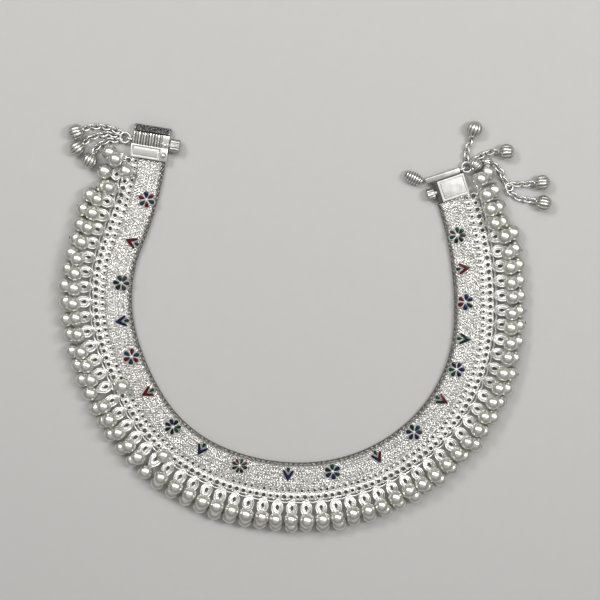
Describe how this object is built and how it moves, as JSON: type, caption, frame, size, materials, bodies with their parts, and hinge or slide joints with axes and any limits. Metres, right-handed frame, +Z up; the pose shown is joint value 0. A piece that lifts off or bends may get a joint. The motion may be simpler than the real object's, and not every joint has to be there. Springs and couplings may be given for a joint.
{
  "type": "payal anklet",
  "caption": "Silver ankle chain lying open in a C: woven band with enamelled flowers, pierced net, fringe of round bells, screw clasps and bell tassels.",
  "frame": {"origin": "on the surface that the chain lies on, under the middle of its box", "axes": "+Z up, +Y towards the open side with the two clasps, +X towards the right clasp"},
  "size_m": [0.1488, 0.1276, 0.0067],
  "materials": {
    "woven_silver": "fine sparkling grain of woven silver",
    "bell_silver": "soft polished silver, a little warm",
    "clasp_silver": "polished silver with handling marks",
    "frosted_silver": "frosted, finely brushed silver",
    "oxidised_silver": "dark oxidised granular silver",
    "enamel_navy": "glossy navy enamel in silver cells",
    "enamel_green": "glossy dark green enamel in silver cells",
    "enamel_red": "glossy dark red enamel in silver cells"
  },
  "bodies": {
    "payal": {"mesh_band": "woven_silver", "fringe_left": "bell_silver", "fringe_right": "bell_silver", "left_clasp_box": "clasp_silver", "left_end": "oxidised_silver", "left_ring": "bell_silver", "left_tassel_1": "bell_silver", "left_tassel_2": "bell_silver", "left_tassel_3": "bell_silver", "right_clasp_box": "frosted_silver", "right_end_bar": "clasp_silver", "corner_screw": "clasp_silver", "right_ring": "bell_silver", "right_tassel_1": "bell_silver", "right_tassel_2": "bell_silver", "right_tassel_3": "bell_silver", "right_tassel_4": "bell_silver", "flower_01": "enamel_navy", "flower_02": "enamel_navy", "flower_03": "enamel_navy", "flower_04": "enamel_navy", "flower_05": "enamel_navy", "flower_06": "enamel_navy", "flower_07": "enamel_navy", "flower_08": "enamel_navy", "flower_09": "enamel_navy", "flower_10": "enamel_navy", "leaf_01": "enamel_green", "leaf_02": "enamel_green", "leaf_03": "enamel_green", "leaf_04": "enamel_green", "leaf_05": "enamel_green", "leaf_06": "enamel_green", "leaf_07": "enamel_green", "leaf_08": "enamel_green", "leaf_09": "enamel_green"},
    "left_screw": {"left_screw": "clasp_silver"},
    "right_screw": {"right_screw": "clasp_silver"}
  },
  "joints": [
    {"name": "left_screw_turn", "type": "hinge", "parent": "payal", "child": "left_screw", "pos_m": [-0.03948, 0.05644, 0.0021], "axis": [0.9869, -0.1616, 0], "continuous": true},
    {"name": "right_screw_turn", "type": "hinge", "parent": "payal", "child": "right_screw", "pos_m": [0.039, 0.04209, 0.00185], "axis": [0.9472, 0.3206, 0], "continuous": true}
  ]
}
